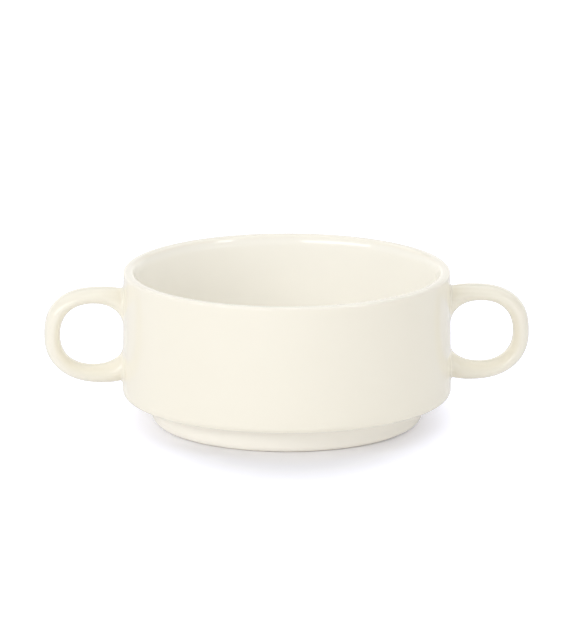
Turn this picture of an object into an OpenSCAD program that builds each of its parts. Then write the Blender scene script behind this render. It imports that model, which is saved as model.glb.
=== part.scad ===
// Bouillon cup: a low, straight-sided soup cup in cream glazed ceramic, with a stepped
// stacking foot, a full-round lip and two loop handles, fired as one piece.
// The origin is at the centre of the foot, on the surface the cup stands on; +Z is up and
// the handles point along +X and -X.

/* [Body] */
// Outside diameter just under the lip
rim_d = 105; // [90:0.5:120]
// Outside diameter low on the wall, where the shoulder rounding starts
shoulder_d = 106; // [92:0.5:120]
// Height from the table to the top of the lip
cup_h = 49.5; // [44:0.5:65]
// Wall thickness at the lip, which is a full round
lip_t = 4; // [3.2:0.1:5]
// Wall thickness low down, where the floor rounding starts
low_wall_t = 5; // [3.6:0.1:6.5]
// Rounding between the wall and the flat underside
shoulder_r = 2; // [0.8:0.1:3]
// Height of the inside floor above the underside of the shoulder
floor_rise = 2.9; // [2:0.1:5]
// Thickness of the floor in the middle
floor_t = 5.5; // [4:0.1:7]
// Rounding between the inside wall and the floor
well_r = 9; // [5:0.5:12]

/* [Foot] */
// Height of the foot, from the table to the underside of the shoulder
foot_h = 8.6; // [7:0.1:11]
// How far the foot's side stands in from the shoulder
foot_inset = 9.4; // [6:0.1:12]
// How much wider the foot is where it meets the underside, per side
foot_flare = 0.6; // [0:0.1:1]
// Rounding of the foot's outer lower edge
foot_edge_r = 2.6; // [1:0.1:3.5]
// Width of the flat ring the cup stands on
foot_flat = 2.8; // [2:0.1:4]
// Rounding of the foot's inner lower edge
foot_inner_r = 1.2; // [0.5:0.1:2]
// Rounding in the corner of the hollow under the cup
recess_r = 2; // [1:0.1:3]
// Small fill where the foot meets the underside
crease_r = 0.8; // [0.4:0.1:1.5]

/* [Handles] */
// How far each handle stands out from the rim
handle_out = 25.6; // [20:0.1:32]
// How far the top of the loop lies below the lip
handle_drop = 5.2; // [4:0.1:8]
// Outer height of the loop at its tallest
loop_h = 31.4; // [26:0.2:33]
// Distance in from the tip to where the loop is tallest
loop_bend = 19.1; // [14:0.1:21]
// How much each level limb closes in from there to the wall
limb_droop = 0.5; // [0:0.1:1]
// Thickness of the loop at its tip
limb_t = 5.3; // [4:0.1:7]
// Thickness of the upper limb, where the finger hole is tallest
upper_t = 5.3; // [4:0.1:7]
// Thickness of the lower limb there
lower_t = 5.8; // [4:0.1:7]
// Distance in from the finger hole's outer end to where the hole is tallest
hole_bend = 10.5; // [8:0.1:12]
// Height of the finger hole where it meets the wall
hole_wall_h = 9.9; // [6:0.1:14]
// How much lower than the loop's middle the hole meets the wall
hole_wall_drop = 0.5; // [0:0.1:1]
// Width of the loop, measured across the hole
limb_w = 10.4; // [8:0.1:14]
// How deep the roots are set into the wall
root_depth = 2.2; // [1.5:0.1:2.8]
// Squareness of the loop's upper corner, where 2 is a plain oval
upper_corner = 2.5; // [2:0.05:3]
// Squareness of the loop's lower corner
lower_corner = 2.25; // [2:0.05:3]
// Squareness of the finger hole
hole_corner = 2.25; // [2:0.05:3]

/* [Hidden] */
$fn = 96;

rim_r = rim_d / 2;
wall_r = shoulder_d / 2;
lip_z = cup_h - lip_t / 2;
wall_z = foot_h + shoulder_r;
bore_r = rim_r - lip_t;
floor_z = foot_h + floor_rise;
well_wall_r = wall_r - low_wall_t;
recess_z = floor_z - floor_t;
foot_r = wall_r - foot_inset;
foot_top_r = foot_r + foot_flare;
foot_in = foot_r - foot_edge_r - foot_flat - foot_inner_r;

handle_z = cup_h - handle_drop - loop_h / 2;
tip_x = rim_r + handle_out;
loop_x = tip_x - loop_bend;
hole_x = tip_x - limb_t - hole_bend;

// Rings from the tip to the crown of the loop, then on to the wall, and points round a ring
CROWN_RINGS = 12;
LIMB_RINGS = 9;
SIDES = 20;

// A closed corner piece that a fillet leaves: a square less the round that touches it
module corner_fill(r) {
    difference() {
        square(r);
        translate([r, r]) circle(r);
    }
}

// Half section of the foot ring, from the hollow's side to the outside
module foot_section() {
    polygon([
        [foot_in, foot_inner_r],
        [foot_in + foot_inner_r, 0],
        [foot_r - foot_edge_r, 0],
        [foot_r, foot_edge_r],
        [foot_top_r, foot_h],
        [foot_in, foot_h]
    ]);
    translate([foot_in + foot_inner_r, foot_inner_r]) circle(foot_inner_r);
    translate([foot_r - foot_edge_r, foot_edge_r]) circle(foot_edge_r);
    translate([foot_in, recess_z]) rotate(180) corner_fill(recess_r);
    translate([foot_top_r, foot_h]) mirror([0, 1]) corner_fill(crease_r);
}

// Half section of the body as a solid block, with its shoulder and lip rounded
module block_section() {
    translate([0, recess_z]) square([foot_in, floor_t]);
    polygon([
        [0, foot_h],
        [wall_r - shoulder_r, foot_h],
        [wall_r, wall_z],
        [rim_r, lip_z],
        [0, lip_z]
    ]);
    translate([wall_r - shoulder_r, wall_z]) circle(shoulder_r);
    translate([rim_r - lip_t / 2, lip_z]) circle(lip_t / 2);
}

// Half section of the room inside the cup
module well_section() {
    polygon([
        [0, floor_z],
        [well_wall_r - well_r, floor_z],
        [well_wall_r, floor_z + well_r],
        [bore_r, lip_z],
        [bore_r, cup_h + 1],
        [0, cup_h + 1]
    ]);
    translate([well_wall_r - well_r, floor_z + well_r]) circle(well_r);
}

module turned_body() {
    rotate_extrude()
        difference() {
            union() {
                foot_section();
                block_section();
            }
            well_section();
        }
}

// Radius of the wall's outside at height z
function wall_at(z) = wall_r + (rim_r - wall_r) * (z - wall_z) / (lip_z - wall_z);

// A quarter of an oval of half sizes a and b, squarer as n grows, t from 0 to 90
function quarter(a, b, n, t) = [a * pow(cos(t), 2 / n), b * pow(sin(t), 2 / n)];

// The finger hole's half height, on the upper side (1) and the lower side (-1)
function hole_b(side) = loop_h / 2 - (side > 0 ? upper_t : lower_t);

// The hole's half height where it meets the wall, on either side
function wall_b(side) = hole_wall_h / 2 - side * hole_wall_drop;

// Half length of the oval that takes the hole on from its crown to the wall
function inner_a(side) =
    let (closing = 1 - pow(wall_b(side) / hole_b(side), hole_corner))
    (hole_x - wall_at(handle_z)) / pow(closing, 1 / hole_corner);

// The loop's outer edge above or below x, on its way from the crown to the wall
function limb_point(x, side) =
    let (run = (loop_x - x) / (loop_x - wall_at(handle_z)))
    [x, handle_z + side * (loop_h / 2 - limb_droop * run * run)];

// Pairs of points, on the hole's edge and on the loop's outer edge, from the tip to the crown
function crown_pairs(side) =
    let (n = side > 0 ? upper_corner : lower_corner)
    [for (i = [0 : CROWN_RINGS])
        let (
            t = 90 * i / CROWN_RINGS,
            hole = quarter(hole_bend, hole_b(side), hole_corner, t),
            loop = quarter(loop_bend, loop_h / 2, n, t)
        )
        [[hole_x + hole[0], handle_z + side * hole[1]],
         [loop_x + loop[0], handle_z + side * loop[1]]]];

// The same along the limb, from the crown to the wall
function limb_pairs(side) =
    let (
        a = inner_a(side),
        last = asin(pow((hole_x - wall_at(handle_z)) / a, hole_corner / 2))
    )
    [for (i = [1 : LIMB_RINGS])
        let (
            t = 90 - last * i / LIMB_RINGS,
            hole = quarter(a, hole_b(side), hole_corner, t),
            share = hole[0] / (hole_x - wall_at(handle_z))
        )
        [[hole_x - hole[0], handle_z + side * hole[1]],
         limb_point(loop_x - share * (loop_x - wall_at(handle_z)), side)]];

// The root's end, inside the wall
function root_pair(side) =
    let (
        edge = limb_point(wall_at(handle_z), side)[1],
        x = wall_at(edge) - root_depth
    )
    [[x, handle_z + side * wall_b(side)], [x, edge]];

function half_loop(side) = [each crown_pairs(side), each limb_pairs(side), root_pair(side)];

// One oval ring, spanning from the hole's edge to the loop's outer edge
function ring(pair) =
    let (
        mid = (pair[0] + pair[1]) / 2,
        half = (pair[1] - pair[0]) / 2
    )
    [for (k = [0 : SIDES - 1])
        let (a = 360 * k / SIDES)
        [mid[0] + half[0] * cos(a), limb_w / 2 * sin(a), mid[1] + half[1] * cos(a)]];

// The loop as one closed skin of rings, from the lower root round the tip to the upper root
module handle() {
    lower = half_loop(-1);
    upper = half_loop(1);
    pairs = [for (i = [len(lower) - 1 : -1 : 1]) lower[i], each upper];
    points = [for (pair = pairs) each ring(pair)];
    last = len(pairs) - 1;
    sides = [
        for (i = [0 : last - 1], k = [0 : SIDES - 1])
        let (
            here = i * SIDES,
            next = (k + 1) % SIDES
        )
        [here + k, here + SIDES + k, here + SIDES + next, here + next]
    ];
    ends = [
        [for (k = [0 : SIDES - 1]) k],
        [for (k = [SIDES - 1 : -1 : 0]) last * SIDES + k]
    ];
    polyhedron(points, concat(sides, ends));
}

module cup() {
    color([0.97, 0.95, 0.89]) {
        turned_body();
        handle();
        mirror([1, 0, 0]) handle();
    }
}

cup();
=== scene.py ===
import math

import bmesh
import bpy
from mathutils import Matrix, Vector
from mathutils.geometry import intersect_point_line


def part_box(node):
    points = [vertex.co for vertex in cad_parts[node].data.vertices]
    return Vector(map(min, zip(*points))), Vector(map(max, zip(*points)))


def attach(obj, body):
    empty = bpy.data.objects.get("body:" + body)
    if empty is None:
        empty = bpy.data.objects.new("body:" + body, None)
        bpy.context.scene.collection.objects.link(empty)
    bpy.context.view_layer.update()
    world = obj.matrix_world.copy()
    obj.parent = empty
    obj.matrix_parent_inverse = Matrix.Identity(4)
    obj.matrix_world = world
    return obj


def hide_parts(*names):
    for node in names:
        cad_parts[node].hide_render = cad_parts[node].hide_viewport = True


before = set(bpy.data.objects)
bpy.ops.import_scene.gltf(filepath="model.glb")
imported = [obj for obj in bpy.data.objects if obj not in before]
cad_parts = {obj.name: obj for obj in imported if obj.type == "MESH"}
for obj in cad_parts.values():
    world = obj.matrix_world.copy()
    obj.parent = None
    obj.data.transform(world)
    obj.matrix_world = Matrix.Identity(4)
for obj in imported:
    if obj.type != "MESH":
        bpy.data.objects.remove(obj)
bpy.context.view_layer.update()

# The body of the bouillon cup: a low, nearly straight wall with a rounded lip and shoulder, on a
# flat underside and a stepped foot that stacks. One turned piece of clay, drawn as half an
# outline and spun, glazed all over but for the ring it stands on.
cup_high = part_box("cup")[1]
cup_h = cup_high.z
wall_r = cup_high.y
wall_draft = 0.0005
low_wall_t = 0.005
shoulder_round = 0.002
lip_t = 0.004
lip_round = 0.0009
lip_inner_round = 0.0008
lip_taper = 0.0012
lip_taper_h = 0.0022
lip_taper_round = 0.00125
floor_rise = 0.0029
floor_t = 0.0055
well_round = 0.009
foot_h = 0.0086
foot_step = 0.0088
foot_flare = 0.00086
foot_in = 0.037
foot_crease_round = 0.0008
foot_edge_round = 0.00235
foot_inner_round = 0.0012
recess_round = 0.002
middle_r = 0.024
wall_rows = 19

rim_r = wall_r - wall_draft
bore_r = rim_r - lip_t
well_wall_r = wall_r - low_wall_t
floor_z = foot_h + floor_rise
recess_z = floor_z - floor_t
foot_top_r = wall_r - foot_step
foot_r = foot_top_r - foot_flare

# Each corner of the half outline: radius, height, rounding, steps in the rounding, and rows in
# the straight stretch that follows. It runs from the inside floor up and over the lip, down the
# wall and round the foot to the hollow under the cup. The middles of both are filled in later.
outline = [
    (middle_r, floor_z, 0, 0, 6),
    (well_wall_r, floor_z, well_round, 8, 14),
    (bore_r, cup_h - lip_taper_h, lip_taper_round, 6, 1),
    (bore_r + lip_taper, cup_h, lip_inner_round, 6, 2),
    (rim_r, cup_h, lip_round, 6, wall_rows),
    (wall_r, foot_h, shoulder_round, 5, 3),
    (foot_top_r, foot_h, foot_crease_round, 3, 3),
    (foot_r, 0, foot_edge_round, 5, 2),
    (foot_in, 0, foot_inner_round, 4, 1),
    (foot_in, recess_z, recess_round, 4, 4),
    (middle_r, recess_z, 0, 0, 0),
]
same_place = 0.00001


def pick(piece, parts, wanted):
    """Selects the verts, edges or faces of a piece in edit mode that are wanted, and no others."""
    bpy.ops.mesh.select_all(action="DESELECT")
    mesh = bmesh.from_edit_mesh(piece.data)
    for part in getattr(mesh, parts):
        if wanted(part):
            part.select_set(True)
    mesh.select_flush(True)
    bmesh.update_edit_mesh(piece.data)


def in_outline(radius, height):
    """The place of an outline point, in the plane that the spin starts from."""
    return Vector((0, -radius, height))


bpy.ops.object.select_all(action="DESELECT")
bpy.ops.mesh.primitive_plane_add(size=lip_t)
cup = bpy.context.active_object
cup.name = "bouillon_cup"
bpy.ops.object.mode_set(mode="EDIT")
bpy.ops.mesh.select_mode(type="VERT")
bpy.ops.mesh.merge(type="CENTER")
bpy.ops.transform.translate(value=in_outline(*outline[0][:2]))
for start, end in zip(outline, outline[1:]):
    stretch = in_outline(*end[:2]) - in_outline(*start[:2])
    bpy.ops.mesh.extrude_region_move(TRANSFORM_OT_translate={"value": stretch})
for corner_r, corner_z, rounding, steps, _ in outline:
    if rounding:
        corner = in_outline(corner_r, corner_z)
        pick(cup, "verts", lambda vert: (vert.co - corner).length < same_place)
        bpy.ops.mesh.bevel(offset=rounding, segments=steps, affect="VERTICES")
for start, end in zip(outline, outline[1:]):
    rows = start[-1]
    if rows > 1:
        ends = in_outline(*start[:2]), in_outline(*end[:2])

        def on_stretch(vert):
            """True for a point of the straight stretch between the two ends."""
            nearest, share = intersect_point_line(vert.co, *ends)
            return (vert.co - nearest).length < same_place and -same_place < share < 1 + same_place

        pick(cup, "verts", on_stretch)
        bpy.ops.mesh.subdivide(number_cuts=rows - 1)

# Half a turn of the outline gives the side with the right handle, and a mirror the other side.
# Without a window a spin turns the other way, so its axis points down.
half_turn_steps = 72
bpy.ops.mesh.select_all(action="SELECT")
bpy.ops.mesh.spin(steps=half_turn_steps, angle=math.pi, center=(0, 0, 0), axis=(0, 0, -1))
bpy.ops.mesh.select_all(action="SELECT")
bpy.ops.mesh.remove_doubles(threshold=same_place)
bpy.ops.mesh.normals_make_consistent(inside=False)

# The two handles: pulled strips of the same clay with an oval section, bent to a loop and stuck
# to the wall while it is soft, so that a small fillet of slip runs round each root. Oval rings
# follow the loop from the lower root round the tip to the upper one and are bridged.
tip_x = cup_high.x
handle_drop = 0.0052
loop_h = 0.0314
loop_bend = 0.0191
limb_droop = 0.0005
limb_w = 0.0104
limb_t = 0.0053
upper_t = 0.0053
lower_t = 0.0058
hole_bend = 0.0105
hole_wall_h = 0.0099
hole_wall_drop = 0.0005
upper_corner = 2.5
lower_corner = 2.25
hole_corner = 2.25
fillet = 0.0008
fillet_bend = fillet / 4
crown_rings = 16
limb_rings = 9
ring_sides = 32


def wall_at(height):
    """Radius of the outside of the wall at a height."""
    return wall_r + (rim_r - wall_r) * (height - foot_h) / (cup_h - foot_h)


handle_z = cup_h - handle_drop - loop_h / 2
loop_x = tip_x - loop_bend
hole_x = tip_x - limb_t - hole_bend
wall_x = wall_at(handle_z)


def quarter(half_length, half_height, squareness, turn):
    """A point on a quarter of an oval, from its end at turn 0 to its top at half of pi."""
    power = 2 / squareness
    return half_length * math.cos(turn) ** power, half_height * math.sin(turn) ** power


def half_loop(side):
    """Pairs of points, on the hole's edge and the loop's outer edge, from tip to root.

    Side 1 is the upper half of the loop, and side -1 the lower half.
    """
    hole_b = loop_h / 2 - (upper_t if side > 0 else lower_t)
    wall_b = hole_wall_h / 2 - side * hole_wall_drop
    corner = upper_corner if side > 0 else lower_corner
    pairs = []
    for index in range(crown_rings + 1):
        turn = math.pi / 2 * index / crown_rings
        hole = quarter(hole_bend, hole_b, hole_corner, turn)
        loop = quarter(loop_bend, loop_h / 2, corner, turn)
        pairs.append(((hole_x + hole[0], hole[1]), (loop_x + loop[0], loop[1])))
    closing = 1 - (wall_b / hole_b) ** hole_corner
    inner_a = (hole_x - wall_x) / closing ** (1 / hole_corner)
    last = math.asin(((hole_x - wall_x) / inner_a) ** (hole_corner / 2))
    limb_holes = [
        quarter(inner_a, hole_b, hole_corner, math.pi / 2 - last * index / limb_rings)
        for index in range(1, limb_rings)
    ]
    root_reach = limb_holes[-1][0]
    for hole in limb_holes:
        run = hole[0] / root_reach
        loop = (loop_x - run * (loop_x - wall_x - fillet), loop_h / 2 - limb_droop * run * run)
        pairs.append(((hole_x - hole[0], hole[1]), loop))
    return [[Vector((x, 0, handle_z + side * z)) for x, z in pair] for pair in pairs]


def add_ring(hole_edge, loop_edge, width):
    """One oval ring of the handle, from the finger hole's edge to the loop's outer edge."""
    middle = (hole_edge + loop_edge) / 2
    across = loop_edge - hole_edge
    bpy.ops.mesh.select_all(action="DESELECT")
    bpy.ops.mesh.primitive_circle_add(vertices=ring_sides, radius=width / 2, location=middle)
    bpy.ops.transform.resize(value=(across.length / width, 1, 1), center_override=middle)
    # Without a window the turn runs the other way, from X towards Z
    bpy.ops.transform.rotate(
        value=math.atan2(across.z, across.x), orient_axis="Y", center_override=middle
    )


def add_wall_ring(side, spread, stand_off):
    """One ring of the root's fillet, on the wall, wider than the root by spread all round."""
    hole_edge_z = handle_z + side * (hole_wall_h / 2 - side * hole_wall_drop - spread)
    loop_edge_z = handle_z + side * (loop_h / 2 - limb_droop + spread)
    hole_edge = Vector((wall_x, 0, hole_edge_z))
    loop_edge = Vector((wall_x, 0, loop_edge_z))
    add_ring(hole_edge, loop_edge, limb_w + 2 * spread)
    mesh = bmesh.from_edit_mesh(cup.data)
    for vert in mesh.verts:
        if vert.select:
            vert.co.x = math.sqrt(wall_at(vert.co.z) ** 2 - vert.co.y ** 2) + stand_off
    bmesh.update_edit_mesh(cup.data)


# A block of faces, as many wide as high, is taken out of the wall at each of the two roots
block_steps = 8
upper_row = 10
wall_foot = foot_h + shoulder_round
row_h = (cup_h - lip_round - wall_foot) / wall_rows
block_turn = block_steps / 2 * math.pi / half_turn_steps
for first_row in (0, upper_row):
    block_low = wall_foot + first_row * row_h
    block_high = block_low + block_steps * row_h

    def in_block(face):
        """True for a face of the outer wall inside the block."""
        middle = face.calc_center_median()
        outer = math.hypot(middle.x, middle.y) > wall_r - low_wall_t / 2
        beside = abs(math.atan2(middle.y, middle.x)) < block_turn
        return outer and beside and block_low < middle.z < block_high

    pick(cup, "faces", in_block)
    bpy.ops.mesh.delete(type="FACE")

# The body is hidden while the loop's rings are bridged, and then each root is joined to the wall
bpy.ops.mesh.select_all(action="SELECT")
bpy.ops.mesh.hide()
add_wall_ring(-1, fillet, 0)
add_wall_ring(-1, fillet_bend, fillet_bend)
for hole_edge, loop_edge in reversed(half_loop(-1)[1:]):
    add_ring(hole_edge, loop_edge, limb_w)
for hole_edge, loop_edge in half_loop(1):
    add_ring(hole_edge, loop_edge, limb_w)
add_wall_ring(1, fillet_bend, fillet_bend)
add_wall_ring(1, fillet, 0)
bpy.ops.mesh.select_all(action="SELECT")
bpy.ops.mesh.bridge_edge_loops()
bpy.ops.mesh.reveal(select=False)
for side in (-1, 1):

    def at_root(edge):
        """True for an open edge of the gap in the wall and of the root that goes into it."""
        place = edge.verts[0].co
        return edge.is_boundary and place.x > wall_r / 2 and (place.z - handle_z) * side > 0

    pick(cup, "edges", at_root)
    bpy.ops.mesh.bridge_edge_loops()
bpy.ops.object.mode_set(mode="OBJECT")

# The left side with its handle, the middles of both floors, and one subdivision over all
mirror = cup.modifiers.new("left_side", "MIRROR")
mirror.merge_threshold = same_place
bpy.ops.object.modifier_apply(modifier=mirror.name)
bpy.ops.object.mode_set(mode="EDIT")
bpy.ops.mesh.select_all(action="SELECT")
bpy.ops.mesh.remove_doubles(threshold=same_place)
for height in (floor_z, recess_z):
    pick(
        cup,
        "edges",
        lambda edge: edge.is_boundary and abs(edge.verts[0].co.z - height) < same_place,
    )
    bpy.ops.mesh.fill_grid()
bpy.ops.mesh.select_all(action="SELECT")
bpy.ops.mesh.normals_make_consistent(inside=False)
bpy.ops.object.mode_set(mode="OBJECT")
smoothing = cup.modifiers.new("rounding", "SUBSURF")
smoothing.levels = 1
smoothing.render_levels = 1
bpy.ops.object.modifier_apply(modifier=smoothing.name)
bpy.ops.object.shade_smooth()

# The glaze: cream, opaque and glossy, fired on over body and handles at once. Its colour is
# painted paler on the inside and the foot, as painted light for the light that reaches them;
# darker in the crease where the foot meets the shoulder and in the corner of the inside floor,
# which is glaze pooling and painted shade at once; and paler over the top of the lip, as painted
# light. The ring that the cup stands on is wiped bare before firing and shows the matt,
# fine-grained biscuit.
glaze_color = (0.952, 0.914, 0.797, 1)
cloud_color = (0.942, 0.902, 0.779, 1)
# Painted light: the inside and the foot are painted paler than the rest of the glaze
inside_painted_light_color = (0.982, 0.964, 0.905, 1)
foot_painted_light_color = (0.972, 0.947, 0.87, 1)
# Painted shade together with glaze pooling: darker in the crease and the inside floor corner
pool_and_shade_color = (0.9, 0.835, 0.69, 1)
# Painted light: the top of the lip is painted paler
lit_lip_color = (0.98, 0.943, 0.85, 1)
biscuit_color = (0.85, 0.8, 0.7, 1)
glaze_roughness = 0.035
cloud_roughness = 0.055
biscuit_roughness = 0.8
glaze_ior = 1.55
foot_fade = 0.001
lit_lip_fade = 0.0012
pool_and_shade_share = 0.5
crease_pool_and_shade_reach = 0.002
corner_pool_and_shade_inset = 0.0026
corner_pool_and_shade_reach = 0.008
bare_h = 0.0001
glazed_h = 0.0002
wiped_waver = 0.0003
cloud_scale = 45
wiped_scale = 300
grain_scale = 2600
grain_depth = 0.00004
wave_scale = 130
wave_depth = 0.00002


def add_node(tree, kind, inputs, **settings):
    """Adds a node with its settings, and gives each input a value or links it to a socket."""
    node = tree.nodes.new(kind)
    for name, value in settings.items():
        setattr(node, name, value)
    for name, value in inputs.items():
        if isinstance(value, bpy.types.NodeSocket):
            tree.links.new(value, node.inputs[name])
        else:
            node.inputs[name].default_value = value
    return node


def ramp(tree, value, start, end):
    """A smooth rise from 0, where a value is at its start, to 1 at its end."""
    inputs = {"Value": value, "From Min": start, "From Max": end}
    node = add_node(tree, "ShaderNodeMapRange", inputs, interpolation_type="SMOOTHSTEP")
    return node.outputs[0]


def combine(tree, operation, first, second):
    """Two values in one operation, such as ADD."""
    node = add_node(tree, "ShaderNodeMath", {0: first, 1: second}, operation=operation)
    return node.outputs[0]


def noise(tree, place, scale, detail):
    """Soft noise from 0 to 1, with about this many waves to the metre."""
    inputs = {"Vector": place, "Scale": scale, "Detail": detail}
    return add_node(tree, "ShaderNodeTexNoise", inputs).outputs[0]


def tint(tree, share, base, color):
    """The base colour with a share of another colour over it. Sockets 6 and 7 take colours."""
    inputs = {"Factor": share, 6: base, 7: color}
    return add_node(tree, "ShaderNodeMix", inputs, data_type="RGBA").outputs[2]


glaze = bpy.data.materials.new("cream_glaze")
glaze.use_nodes = True
tree = glaze.node_tree
shader = tree.nodes["Principled BSDF"]
shader.inputs["IOR"].default_value = glaze_ior
place = add_node(tree, "ShaderNodeTexCoord", {}).outputs["Object"]
place_parts = add_node(tree, "ShaderNodeSeparateXYZ", {0: place})
level_parts = {"X": place_parts.outputs["X"], "Y": place_parts.outputs["Y"]}
level_place = add_node(tree, "ShaderNodeCombineXYZ", level_parts).outputs[0]
off_axis = add_node(tree, "ShaderNodeVectorMath", {0: level_place}, operation="LENGTH")
radius = off_axis.outputs["Value"]
height = place_parts.outputs["Z"]
in_section = add_node(tree, "ShaderNodeCombineXYZ", {"X": radius, "Z": height}).outputs[0]


def near_ring(ring_r, ring_z, reach):
    """1 on a level ring round the cup, and 0 further from it than the reach."""
    inputs = {0: in_section, 1: (ring_r, 0, ring_z)}
    away = add_node(tree, "ShaderNodeVectorMath", inputs, operation="DISTANCE")
    return ramp(tree, away.outputs["Value"], reach, 0)


clouds = noise(tree, place, cloud_scale, detail=3)
within_wall = ramp(tree, radius, rim_r - lip_t / 2, bore_r)
above_foot = ramp(tree, height, foot_h, floor_z)
# Where the inside is painted paler, as painted light
inside = combine(tree, "MULTIPLY", within_wall, above_foot)
# Where the foot is painted paler, as painted light
foot = ramp(tree, height, foot_h + foot_fade, foot_h - foot_fade)
# The crease where the foot meets the shoulder and the corner of the inside floor get painted
# shade, along with pooled glaze
crease = near_ring(foot_top_r, foot_h, crease_pool_and_shade_reach)
well_corner = near_ring(
    well_wall_r - corner_pool_and_shade_inset, floor_z + corner_pool_and_shade_inset, corner_pool_and_shade_reach
)
pool_and_shade = combine(tree, "MULTIPLY", combine(tree, "MAXIMUM", crease, well_corner), pool_and_shade_share)
# Where the top of the lip is painted paler, as painted light
lit_lip_top = ramp(tree, height, cup_h - lit_lip_fade, cup_h)
wiping = noise(tree, place, wiped_scale, detail=2)
wiped_edge = combine(tree, "MULTIPLY", wiping, -wiped_waver)
bare = ramp(tree, combine(tree, "ADD", height, wiped_edge), glazed_h, bare_h)

color = tint(tree, clouds, glaze_color, cloud_color)
# Painted light: the inside and the foot paler than the rest of the glaze
color = tint(tree, inside, color, inside_painted_light_color)
color = tint(tree, foot, color, foot_painted_light_color)
# Painted shade, with glaze pooling, in the crease and the inside floor corner
color = tint(tree, pool_and_shade, color, pool_and_shade_color)
# Painted light: paler over the top of the lip
color = tint(tree, lit_lip_top, color, lit_lip_color)
color = tint(tree, bare, color, biscuit_color)
tree.links.new(color, shader.inputs["Base Color"])

gloss_inputs = {"Value": clouds, "To Min": glaze_roughness, "To Max": cloud_roughness}
gloss = add_node(tree, "ShaderNodeMapRange", gloss_inputs).outputs[0]
# Sockets 2 and 3 of a mix take plain numbers
roughness = add_node(tree, "ShaderNodeMix", {"Factor": bare, 2: gloss, 3: biscuit_roughness})
tree.links.new(roughness.outputs[0], shader.inputs["Roughness"])

# The glaze's surface is faintly wavy, and the bare biscuit is finely grained
wave_inputs = {
    "Height": noise(tree, place, wave_scale, detail=1),
    "Strength": 1,
    "Distance": wave_depth,
}
wavy = add_node(tree, "ShaderNodeBump", wave_inputs)
grain_inputs = {
    "Height": noise(tree, place, grain_scale, detail=4),
    "Strength": bare,
    "Distance": grain_depth,
    "Normal": wavy.outputs[0],
}
grainy = add_node(tree, "ShaderNodeBump", grain_inputs)
tree.links.new(grainy.outputs[0], shader.inputs["Normal"])
cup.data.materials.append(glaze)

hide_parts("cup")
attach(cup, "root")

# The floor: a plain white table top, which the camera sees as white paper with the cup's soft
# grey shadow on it. A glow that only the camera and mirroring surfaces see rises in an oval
# round the foot, so that the shadow ends close to the cup. It isn't part of the cup.
floor_span = 8
paper_color = (0.888, 0.89, 0.925, 1)
paper_roughness = 0.9
glow_color = (0.79, 0.82, 1, 1)
shadow_glow = 0.055
open_glow = 0.75
mirrored_glow = 0.1
oval_squeeze = (1.66, 1, 0)
fade_start = 0.052
fade_end = 0.116
bpy.ops.object.select_all(action="DESELECT")
bpy.ops.mesh.primitive_plane_add(size=floor_span)
floor = bpy.context.active_object
floor.name = "floor"
paper = bpy.data.materials.new("white_paper")
paper.use_nodes = True
tree = paper.node_tree
shader = tree.nodes["Principled BSDF"]
shader.inputs["Base Color"].default_value = paper_color
shader.inputs["Roughness"].default_value = paper_roughness
shader.inputs["Specular IOR Level"].default_value = 0
place = add_node(tree, "ShaderNodeTexCoord", {}).outputs["Object"]
oval_inputs = {0: place, 1: oval_squeeze}
oval_place = add_node(tree, "ShaderNodeVectorMath", oval_inputs, operation="MULTIPLY")
away = add_node(tree, "ShaderNodeVectorMath", {0: oval_place.outputs[0]}, operation="LENGTH")
fade_inputs = {
    "Value": away.outputs["Value"],
    "From Min": fade_start,
    "From Max": fade_end,
    "To Min": shadow_glow,
    "To Max": open_glow,
}
fade = add_node(tree, "ShaderNodeMapRange", fade_inputs, interpolation_type="SMOOTHSTEP")
rays = add_node(tree, "ShaderNodeLightPath", {}).outputs
seen = combine(tree, "MAXIMUM", rays["Is Camera Ray"], rays["Is Transmission Ray"])
seen_glow = combine(tree, "MULTIPLY", seen, fade.outputs[0])
mirror_glow = combine(tree, "MULTIPLY", rays["Is Glossy Ray"], mirrored_glow)
glow_level = combine(tree, "ADD", seen_glow, mirror_glow)
glow = add_node(tree, "ShaderNodeEmission", {"Color": glow_color, "Strength": glow_level})
both = add_node(tree, "ShaderNodeAddShader", {0: shader.outputs[0], 1: glow.outputs[0]})
tree.links.new(both.outputs[0], tree.nodes["Material Output"].inputs["Surface"])
floor.data.materials.append(paper)

# The light of a small studio: warm white walls and a darker ceiling as the world, a wide soft
# key lamp at the front left, a low strip and a small window at the front right, and soft panels
# behind and overhead, which the lip and the tops of the handles mirror.
wall_color = (1, 0.988, 0.965, 1)
wall_level = 1.01
ceiling_level = 0.36
horizon = 0
ceiling_rise = math.radians(30)
world = bpy.context.scene.world or bpy.data.worlds.new("studio_walls")
bpy.context.scene.world = world
world.use_nodes = True
tree = world.node_tree
direction = add_node(tree, "ShaderNodeTexCoord", {}).outputs["Generated"]
direction_parts = add_node(tree, "ShaderNodeSeparateXYZ", {0: direction})
level_inputs = {
    "Value": direction_parts.outputs["Z"],
    "From Min": horizon,
    "From Max": math.sin(ceiling_rise),
    "To Min": wall_level,
    "To Max": ceiling_level,
}
room_level = add_node(tree, "ShaderNodeMapRange", level_inputs).outputs[0]
background = tree.nodes["Background"]
background.inputs["Color"].default_value = wall_color
tree.links.new(room_level, background.inputs["Strength"])


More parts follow.
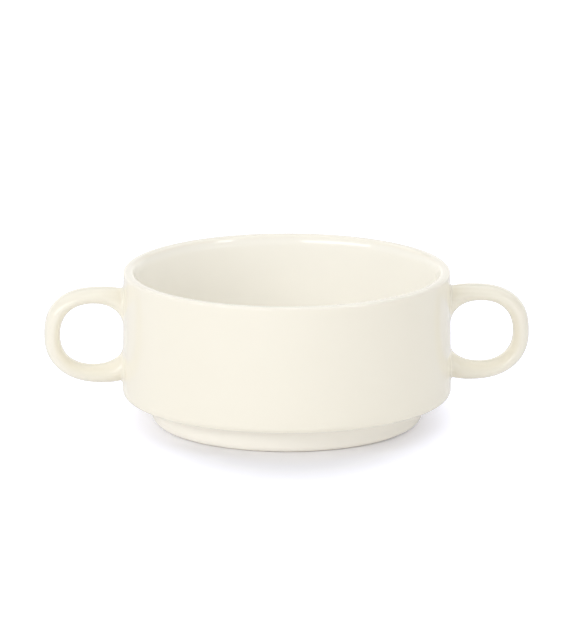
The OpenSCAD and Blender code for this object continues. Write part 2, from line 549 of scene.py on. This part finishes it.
def add_softbox(name, azimuth, elevation, distance, width, height, power):
    """A soft lamp that faces the cup. Azimuth 0 is over the camera and 90 on the right."""
    turn = math.radians(azimuth)
    rise = math.radians(elevation)
    level = Vector((math.sin(turn), -math.cos(turn), 0))
    toward = level * math.cos(rise) + Vector((0, 0, math.sin(rise)))
    bpy.ops.object.light_add(type="AREA", location=toward * distance)
    lamp = bpy.context.active_object
    lamp.name = name
    lamp.data.shape = "RECTANGLE"
    lamp.data.size = width
    lamp.data.size_y = height
    lamp.data.energy = power
    lamp.rotation_euler = toward.to_track_quat("Z", "Y").to_euler()
    return lamp


# Azimuth and elevation in degrees, distance, width and height in metres, power in watts
add_softbox("key", -43, 24, 1.2, 1.2, 0.35, 4.8)
add_softbox("fill", 50, 5, 1.2, 0.9, 0.2, 0.76)
add_softbox("window", 52, 38, 1.2, 0.26, 0.26, 1.0)
add_softbox("back", 180, 50, 1.2, 2.2, 0.6, 3.6)
add_softbox("overhead", 0, 82, 1.1, 1.35, 1.0, 3.2)
backdrop = add_softbox("backdrop", 180, 15, 1.5, 3.0, 0.8, 2.5)
backdrop.data.color = wall_color[:3]

# The camera, a long lens about two metres off, where the photograph was taken from: nearly level
# with the cup and turned a little, so that the right handle lies a little further off.
image_h = 630
focal_px = 6470.8
sensor_h = 36
view_depth = 20
camera_distance = 2.0888
camera_rise = math.radians(14.73)
camera_turn = math.radians(-2.17)
aim_up = 0.03346
aim_left = 0.00058
level = Vector((math.sin(camera_turn), -math.cos(camera_turn), 0))
toward = level * math.cos(camera_rise) + Vector((0, 0, math.sin(camera_rise)))
camera_up = Vector((0, 0, math.cos(camera_rise))) - level * math.sin(camera_rise)
camera_right = camera_up.cross(toward)
aim = camera_up * aim_up - camera_right * aim_left
bpy.ops.object.camera_add(location=toward * camera_distance)
camera = bpy.context.active_object
camera.rotation_euler = (camera.location - aim).to_track_quat("Z", "Y").to_euler()
camera.data.sensor_fit = "VERTICAL"
camera.data.sensor_height = sensor_h
camera.data.lens = focal_px * sensor_h / image_h
camera.data.clip_end = view_depth
bpy.context.scene.camera = camera

bpy.context.scene.view_settings.view_transform = "Standard"

# A pale glaze passes light on many times inside the cup and under its shoulder
light_bounces = 12
bpy.context.scene.cycles.max_bounces = light_bounces
bpy.context.scene.cycles.diffuse_bounces = light_bounces
bpy.context.scene.cycles.glossy_bounces = light_bounces
